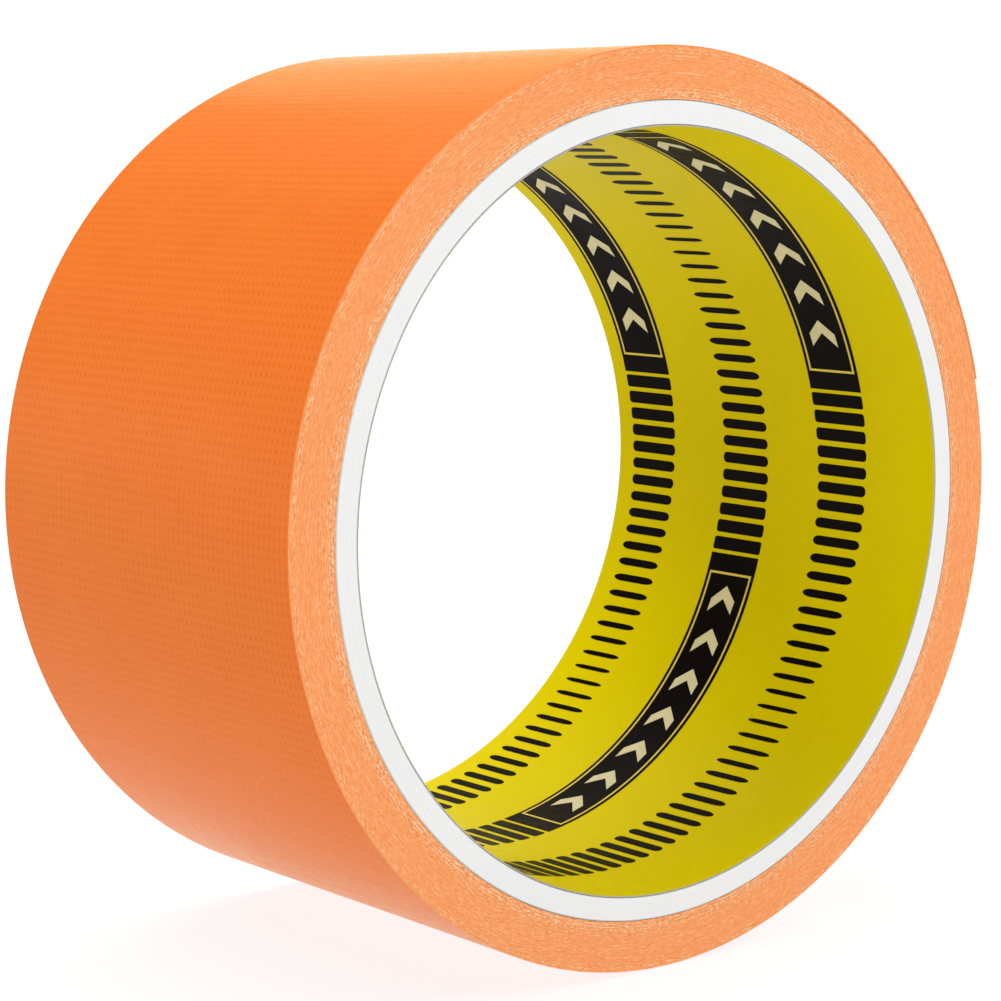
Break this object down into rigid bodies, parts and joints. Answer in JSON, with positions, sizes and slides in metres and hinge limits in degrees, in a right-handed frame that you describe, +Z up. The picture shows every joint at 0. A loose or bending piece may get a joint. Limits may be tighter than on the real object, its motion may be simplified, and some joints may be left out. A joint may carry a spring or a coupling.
{
  "type": "cloth tape roll",
  "caption": "Roll of woven cloth adhesive tape on a white paperboard core with a yellow printed liner; the free end peels up from the roll.",
  "frame": {"origin": "centre of the bore, halfway across the width of the tape", "axes": "+Y along the roll's axis, from the front end face to the back end face; +Z up as the roll stands on its rim, with the free end of the tape on the +X side"},
  "size_m": [0.0911, 0.0508, 0.0913],
  "materials": {
    "tape": "satin",
    "liner": "satin",
    "core_board": "matte",
    "core_wrap": "matte"
  },
  "bodies": {
    "roll": {"printed_liner": "liner", "core_ply_1": "core_board", "core_ply_2": "core_board", "core_ply_3": "core_board", "core_ply_4": "core_board", "core_outer_wrap": "core_wrap", "tape_winding": "tape"},
    "end_1": {"tape_end_1": "tape"},
    "end_2": {"tape_end_2": "tape"},
    "end_3": {"tape_end_3": "tape"},
    "end_4": {"tape_end_4": "tape"},
    "end_5": {"tape_end_5": "tape"}
  },
  "joints": [
    {"name": "tape_peel", "type": "hinge", "parent": "roll", "child": "end_1", "pos_m": [0.01543, 0, 0.04312], "axis": [0, -1, 0], "range_deg": [0, 70]},
    {"name": "tape_curl_2", "type": "hinge", "parent": "end_1", "child": "end_2", "pos_m": [0.02355, 0, 0.03929], "axis": [0, -1, 0], "range_deg": [0, 7]},
    {"name": "tape_curl_3", "type": "hinge", "parent": "end_2", "child": "end_3", "pos_m": [0.03077, 0, 0.03395], "axis": [0, -1, 0], "range_deg": [0, 7]},
    {"name": "tape_curl_4", "type": "hinge", "parent": "end_3", "child": "end_4", "pos_m": [0.03681, 0, 0.0273], "axis": [0, -1, 0], "range_deg": [0, 7]},
    {"name": "tape_curl_5", "type": "hinge", "parent": "end_4", "child": "end_5", "pos_m": [0.04144, 0, 0.0196], "axis": [0, -1, 0], "range_deg": [0, 7]}
  ],
  "couplings": [
    {"joint": "tape_curl_2", "follows": "tape_peel", "ratio": 0.1},
    {"joint": "tape_curl_3", "follows": "tape_peel", "ratio": 0.1},
    {"joint": "tape_curl_4", "follows": "tape_peel", "ratio": 0.1},
    {"joint": "tape_curl_5", "follows": "tape_peel", "ratio": 0.1}
  ]
}
